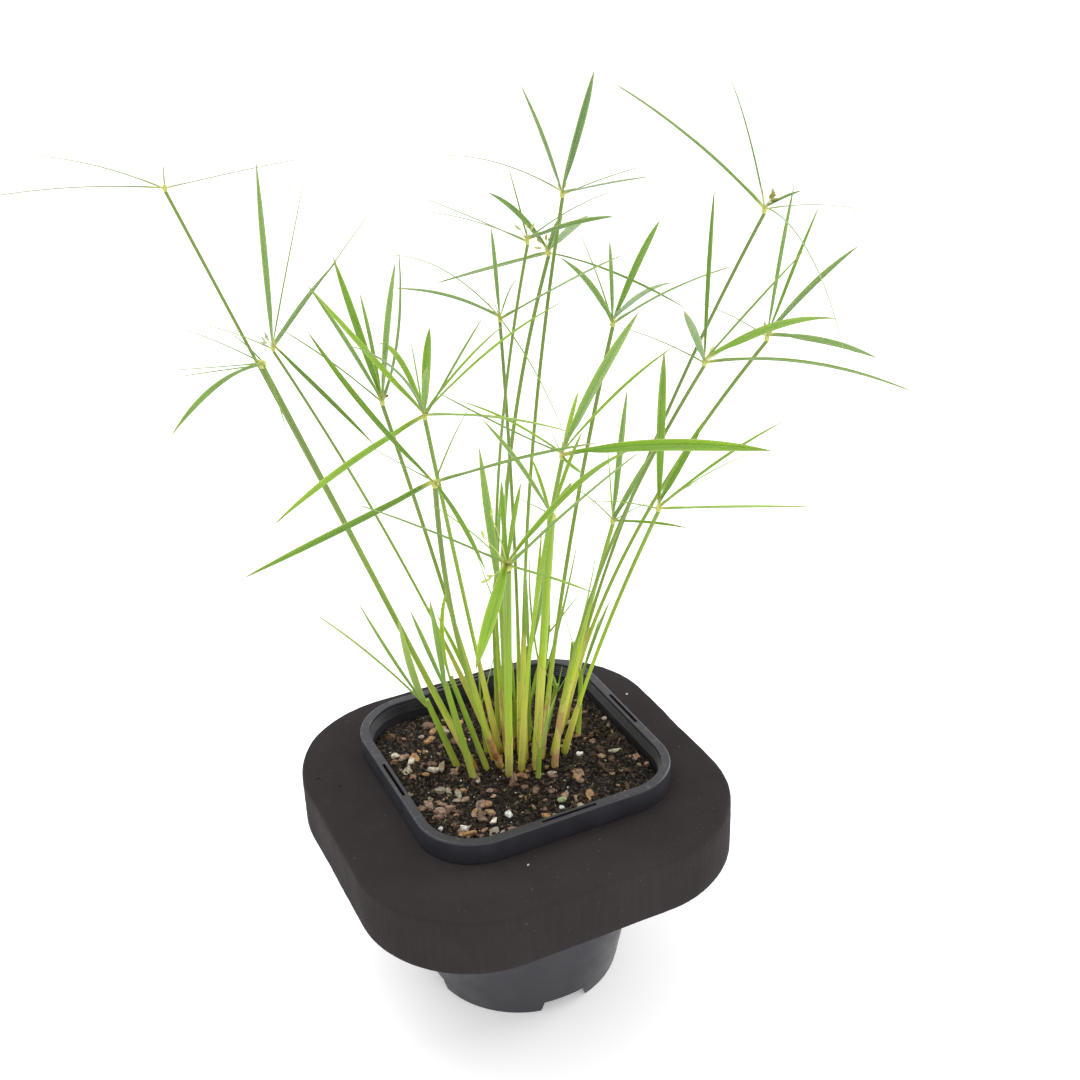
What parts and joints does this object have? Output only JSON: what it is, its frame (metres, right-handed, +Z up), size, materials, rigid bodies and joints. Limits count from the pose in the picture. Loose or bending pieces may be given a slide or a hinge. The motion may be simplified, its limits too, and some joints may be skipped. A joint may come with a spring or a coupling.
{
  "type": "potted umbrella sedge",
  "caption": "Umbrella sedge in a square-rimmed round-footed pot seated in a floating foam collar; thin stems rise from the soil and open into umbrellas of long narrow leaves.",
  "frame": {"origin": "on the surface the pot stands on, at the middle of the pot's foot, which is also the middle of the plant's spread", "axes": "+Z up along the pot's axis; X and Y square to the sides of the pot's rim"},
  "size_m": [0.4311, 0.357, 0.4524],
  "materials": {
    "pot_plastic": "satin",
    "collar_foam": "matte",
    "potting_soil": "matte",
    "stem_green": "satin",
    "leaf_green": "satin",
    "shoot_green": "satin"
  },
  "bodies": {
    "root": {"pot": "pot_plastic", "foam_collar": "collar_foam", "soil": "potting_soil", "stem_a": "stem_green", "stem_b": "stem_green", "stem_c": "stem_green", "stem_d": "stem_green", "stem_e": "stem_green", "stem_f": "stem_green", "stem_g": "stem_green", "stem_h": "stem_green", "stem_i": "stem_green", "stem_j": "stem_green", "stem_k": "stem_green", "stem_l": "stem_green", "stem_m": "stem_green", "stem_n": "stem_green", "stem_o": "stem_green", "stem_p": "stem_green", "stem_q": "stem_green", "stem_r": "stem_green", "stem_s": "stem_green", "umbrella_a": "leaf_green", "umbrella_b": "leaf_green", "umbrella_c": "leaf_green", "umbrella_d": "leaf_green", "umbrella_e": "leaf_green", "umbrella_f": "leaf_green", "umbrella_g": "leaf_green", "umbrella_h": "leaf_green", "umbrella_i": "leaf_green", "umbrella_j": "leaf_green", "umbrella_k": "leaf_green", "umbrella_l": "leaf_green", "umbrella_m": "leaf_green", "umbrella_n": "leaf_green", "umbrella_o": "leaf_green", "umbrella_p": "leaf_green", "umbrella_q": "leaf_green", "umbrella_r": "leaf_green", "umbrella_s": "leaf_green", "shoot_left": "shoot_green", "shoot_front_left": "shoot_green", "shoot_twisted": "shoot_green", "shoot_upright": "shoot_green", "shoot_behind": "shoot_green", "shoot_right": "shoot_green", "shoot_short_front": "shoot_green", "shoot_short_back": "shoot_green", "shoot_centre": "shoot_green", "shoot_dark_blades": "shoot_green", "shoot_blade_mid": "shoot_green", "shoot_tuft": "shoot_green", "shoot_right_dark": "shoot_green", "shoot_pale": "shoot_green", "shoot_back_stub": "shoot_green"}
  },
  "joints": []
}
